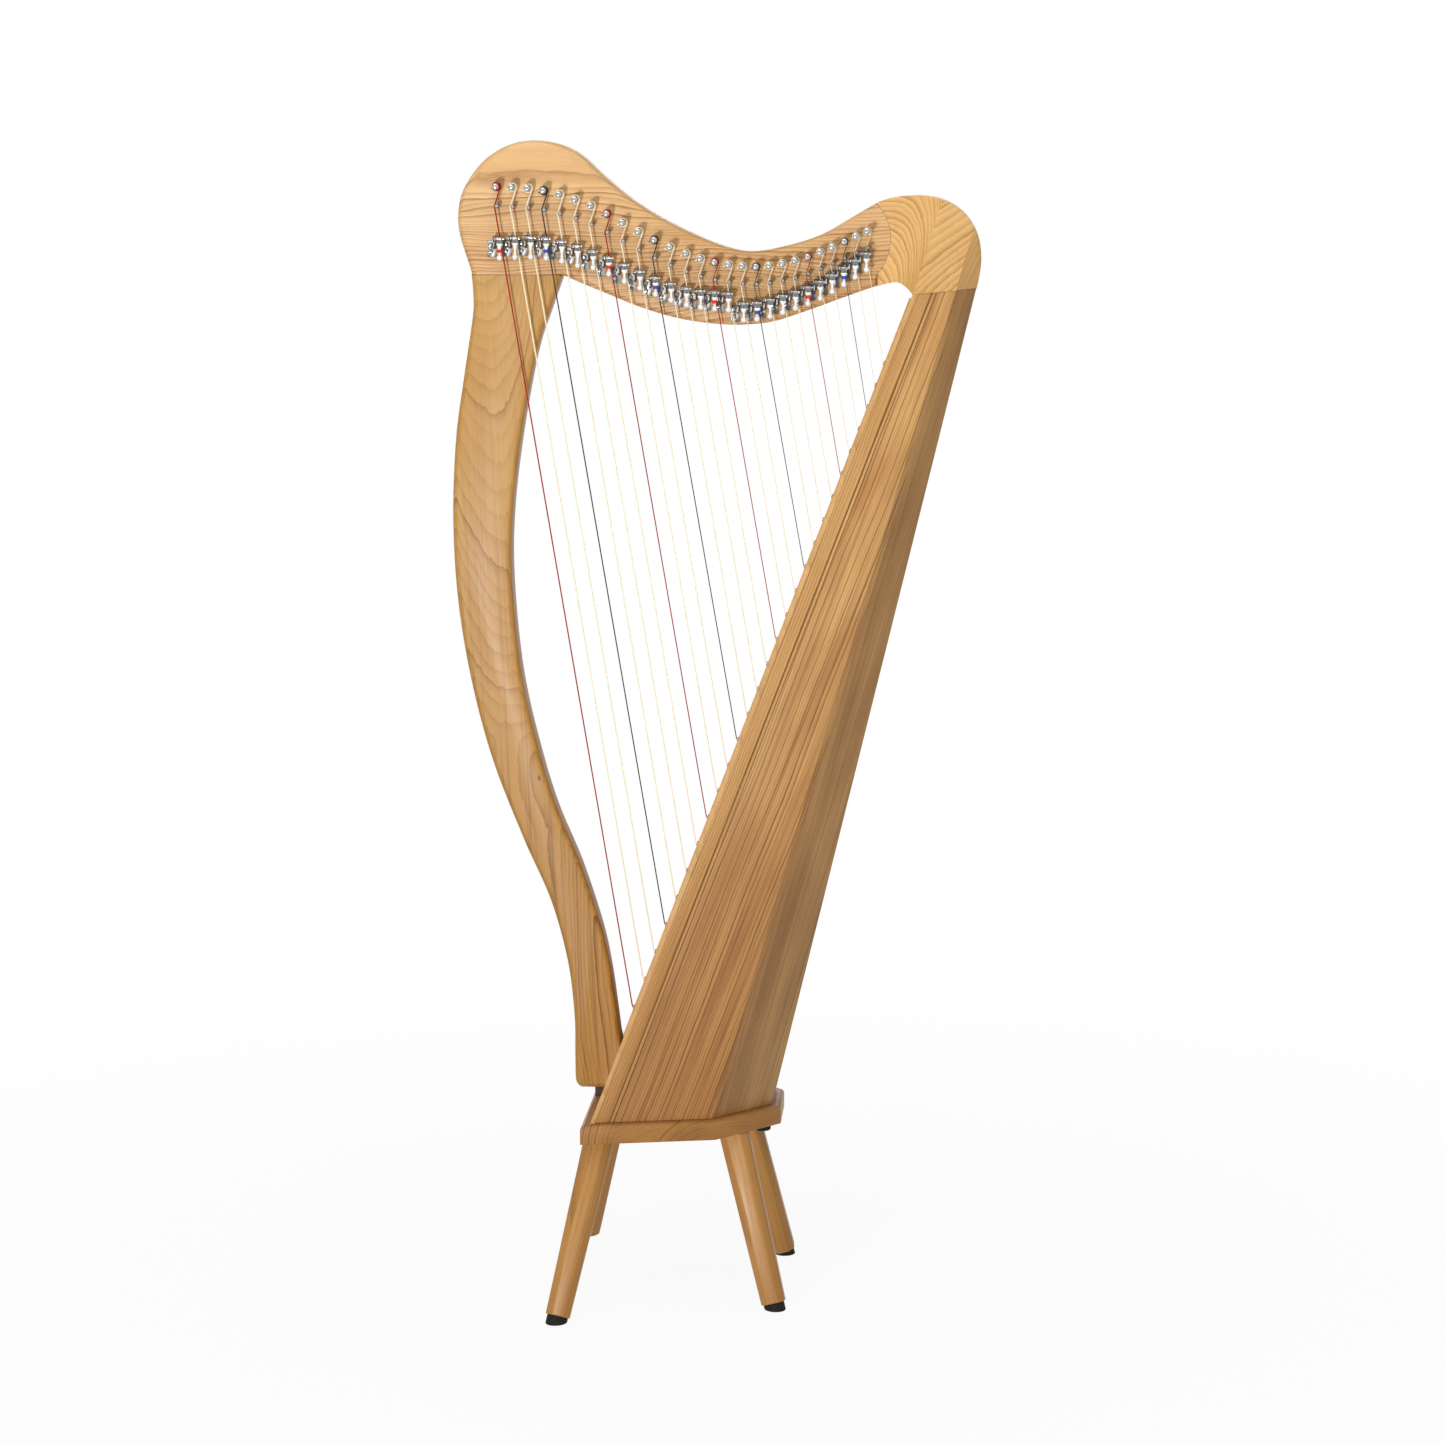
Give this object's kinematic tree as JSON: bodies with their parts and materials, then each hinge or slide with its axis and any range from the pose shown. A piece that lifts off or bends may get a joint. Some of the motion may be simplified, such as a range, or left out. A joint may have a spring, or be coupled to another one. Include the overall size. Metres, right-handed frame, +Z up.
{
  "type": "lever harp",
  "caption": "Floor-standing lever harp with curved neck and pillar, flat-sided soundbox, sharping levers that flip and a base plate on splayed legs.",
  "frame": {"origin": "on the floor under the middle of the object's box", "axes": "+Z up; the pillar stands at -X and the soundbox leans back towards +X, where the player sits; strings and levers are on the -Y side of the neck, the player's left"},
  "size_m": [0.5209, 0.3324, 1.1515],
  "materials": {
    "ash_neck": "clear satin lacquer, lengthwise grain",
    "ash_shoulder": "clear satin lacquer, growth rings on the hollow flare",
    "ash_pillar": "clear satin lacquer, lengthwise grain",
    "spacer_brown": "dark brown pad",
    "bolt_steel": "plain steel bolt",
    "soundboard_wood": "clear satin lacquer, fine straight grain",
    "strip_wood": "clear satin lacquer",
    "inner_wood": "bare wood",
    "ash_side": "clear satin lacquer, straight grain along the box",
    "ash_rear": "clear satin lacquer, straight grain along the box",
    "ash_base": "clear satin lacquer, glued from staves",
    "ash_leg": "clear satin lacquer, lengthwise grain",
    "black_rubber": "matt black rubber",
    "pin_chrome": "bright nickel-plated steel",
    "bridge_steel": "bright steel",
    "lever_nickel": "dark nickel plate",
    "screw_chrome": "bright nickel plate",
    "eyelet_bronze": "dark bronze",
    "string_red": "red nylon",
    "string_black": "black nylon",
    "string_cream": "natural translucent nylon",
    "lever_white": "white handle on a nickel barrel; C levers have a red band and F levers a blue one"
  },
  "bodies": {
    "harp": {"neck": "ash_neck", "shoulder_block": "ash_shoulder", "pillar": "ash_pillar", "pillar_spacer": "spacer_brown", "pillar_bolt": "bolt_steel", "soundboard": "soundboard_wood", "string_strip": "strip_wood", "string_bar": "inner_wood", "side_rail_left": "ash_side", "side_rail_right": "ash_side", "side_panel_left": "ash_side", "side_panel_right": "ash_side", "rear_panel_left": "ash_rear", "rear_panel_right": "ash_rear", "back_panel": "ash_rear", "foot_block": "inner_wood", "box_braces": "inner_wood", "base_plate": "ash_base", "leg_front_left": "ash_leg", "leg_front_right": "ash_leg", "leg_rear_left": "ash_leg", "leg_rear_right": "ash_leg", "leg_tips": "black_rubber", "base_bumpers": "black_rubber", "tuning_pins": "pin_chrome", "bridge_pins": "bridge_steel", "lever_plates": "lever_nickel", "lever_screws": "screw_chrome", "lever_axles": "screw_chrome", "string_eyelets": "eyelet_bronze", "strings_red": "string_red", "strings_black": "string_black", "strings_natural": "string_cream"},
    "lever_01": {"lever_01": "lever_white"},
    "lever_02": {"lever_02": "lever_white"},
    "lever_03": {"lever_03": "lever_white"},
    "lever_04": {"lever_04": "lever_white"},
    "lever_05": {"lever_05": "lever_white"},
    "lever_06": {"lever_06": "lever_white"},
    "lever_07": {"lever_07": "lever_white"},
    "lever_08": {"lever_08": "lever_white"},
    "lever_09": {"lever_09": "lever_white"},
    "lever_10": {"lever_10": "lever_white"},
    "lever_11": {"lever_11": "lever_white"},
    "lever_12": {"lever_12": "lever_white"},
    "lever_13": {"lever_13": "lever_white"},
    "lever_14": {"lever_14": "lever_white"},
    "lever_15": {"lever_15": "lever_white"},
    "lever_16": {"lever_16": "lever_white"},
    "lever_17": {"lever_17": "lever_white"},
    "lever_18": {"lever_18": "lever_white"},
    "lever_19": {"lever_19": "lever_white"},
    "lever_20": {"lever_20": "lever_white"},
    "lever_21": {"lever_21": "lever_white"},
    "lever_22": {"lever_22": "lever_white"},
    "lever_23": {"lever_23": "lever_white"},
    "lever_24": {"lever_24": "lever_white"},
    "lever_25": {"lever_25": "lever_white"},
    "lever_26": {"lever_26": "lever_white"},
    "lever_27": {"lever_27": "lever_white"}
  },
  "joints": [
    {"name": "lever_01_flip", "type": "hinge", "parent": "harp", "child": "lever_01", "pos_m": [-0.20965, -0.031, 1.0562], "axis": [-1, 0, 0], "range_deg": [0, 110]},
    {"name": "lever_02_flip", "type": "hinge", "parent": "harp", "child": "lever_02", "pos_m": [-0.19437, -0.031, 1.05681], "axis": [-1, 0, 0], "range_deg": [0, 110]},
    {"name": "lever_03_flip", "type": "hinge", "parent": "harp", "child": "lever_03", "pos_m": [-0.1791, -0.031, 1.05729], "axis": [-1, 0, 0], "range_deg": [0, 110]},
    {"name": "lever_04_flip", "type": "hinge", "parent": "harp", "child": "lever_04", "pos_m": [-0.16379, -0.031, 1.05631], "axis": [-1, 0, 0], "range_deg": [0, 110]},
    {"name": "lever_05_flip", "type": "hinge", "parent": "harp", "child": "lever_05", "pos_m": [-0.14841, -0.031, 1.05336], "axis": [-1, 0, 0], "range_deg": [0, 110]},
    {"name": "lever_06_flip", "type": "hinge", "parent": "harp", "child": "lever_06", "pos_m": [-0.133, -0.031, 1.04908], "axis": [-1, 0, 0], "range_deg": [0, 110]},
    {"name": "lever_07_flip", "type": "hinge", "parent": "harp", "child": "lever_07", "pos_m": [-0.11765, -0.031, 1.044], "axis": [-1, 0, 0], "range_deg": [0, 110]},
    {"name": "lever_08_flip", "type": "hinge", "parent": "harp", "child": "lever_08", "pos_m": [-0.10239, -0.031, 1.03792], "axis": [-1, 0, 0], "range_deg": [0, 110]},
    {"name": "lever_09_flip", "type": "hinge", "parent": "harp", "child": "lever_09", "pos_m": [-0.08715, -0.031, 1.03103], "axis": [-1, 0, 0], "range_deg": [0, 110]},
    {"name": "lever_10_flip", "type": "hinge", "parent": "harp", "child": "lever_10", "pos_m": [-0.072, -0.031, 1.02445], "axis": [-1, 0, 0], "range_deg": [0, 110]},
    {"name": "lever_11_flip", "type": "hinge", "parent": "harp", "child": "lever_11", "pos_m": [-0.05682, -0.031, 1.0184], "axis": [-1, 0, 0], "range_deg": [0, 110]},
    {"name": "lever_12_flip", "type": "hinge", "parent": "harp", "child": "lever_12", "pos_m": [-0.04156, -0.031, 1.01272], "axis": [-1, 0, 0], "range_deg": [0, 110]},
    {"name": "lever_13_flip", "type": "hinge", "parent": "harp", "child": "lever_13", "pos_m": [-0.02638, -0.031, 1.00824], "axis": [-1, 0, 0], "range_deg": [0, 110]},
    {"name": "lever_14_flip", "type": "hinge", "parent": "harp", "child": "lever_14", "pos_m": [-0.01257, -0.031, 1.00585], "axis": [-1, 0, 0], "range_deg": [0, 110]},
    {"name": "lever_15_flip", "type": "hinge", "parent": "harp", "child": "lever_15", "pos_m": [0.00103, -0.031, 1.00457], "axis": [-1, 0, 0], "range_deg": [0, 110]},
    {"name": "lever_16_flip", "type": "hinge", "parent": "harp", "child": "lever_16", "pos_m": [0.01457, -0.031, 1.00335], "axis": [-1, 0, 0], "range_deg": [0, 110]},
    {"name": "lever_17_flip", "type": "hinge", "parent": "harp", "child": "lever_17", "pos_m": [0.02945, -0.031, 0.9938], "axis": [-1, 0, 0], "range_deg": [0, 110]},
    {"name": "lever_18_flip", "type": "hinge", "parent": "harp", "child": "lever_18", "pos_m": [0.04251, -0.031, 0.99444], "axis": [-1, 0, 0], "range_deg": [0, 110]},
    {"name": "lever_19_flip", "type": "hinge", "parent": "harp", "child": "lever_19", "pos_m": [0.05519, -0.031, 0.99739], "axis": [-1, 0, 0], "range_deg": [0, 110]},
    {"name": "lever_20_flip", "type": "hinge", "parent": "harp", "child": "lever_20", "pos_m": [0.06767, -0.031, 1.00118], "axis": [-1, 0, 0], "range_deg": [0, 110]},
    {"name": "lever_21_flip", "type": "hinge", "parent": "harp", "child": "lever_21", "pos_m": [0.07998, -0.031, 1.00524], "axis": [-1, 0, 0], "range_deg": [0, 110]},
    {"name": "lever_22_flip", "type": "hinge", "parent": "harp", "child": "lever_22", "pos_m": [0.09216, -0.031, 1.00959], "axis": [-1, 0, 0], "range_deg": [0, 110]},
    {"name": "lever_23_flip", "type": "hinge", "parent": "harp", "child": "lever_23", "pos_m": [0.10407, -0.031, 1.01492], "axis": [-1, 0, 0], "range_deg": [0, 110]},
    {"name": "lever_24_flip", "type": "hinge", "parent": "harp", "child": "lever_24", "pos_m": [0.11563, -0.031, 1.02136], "axis": [-1, 0, 0], "range_deg": [0, 110]},
    {"name": "lever_25_flip", "type": "hinge", "parent": "harp", "child": "lever_25", "pos_m": [0.1269, -0.031, 1.02837], "axis": [-1, 0, 0], "range_deg": [0, 110]},
    {"name": "lever_26_flip", "type": "hinge", "parent": "harp", "child": "lever_26", "pos_m": [0.13792, -0.031, 1.03551], "axis": [-1, 0, 0], "range_deg": [0, 110]},
    {"name": "lever_27_flip", "type": "hinge", "parent": "harp", "child": "lever_27", "pos_m": [0.14873, -0.031, 1.04238], "axis": [-1, 0, 0], "range_deg": [0, 110]}
  ]
}
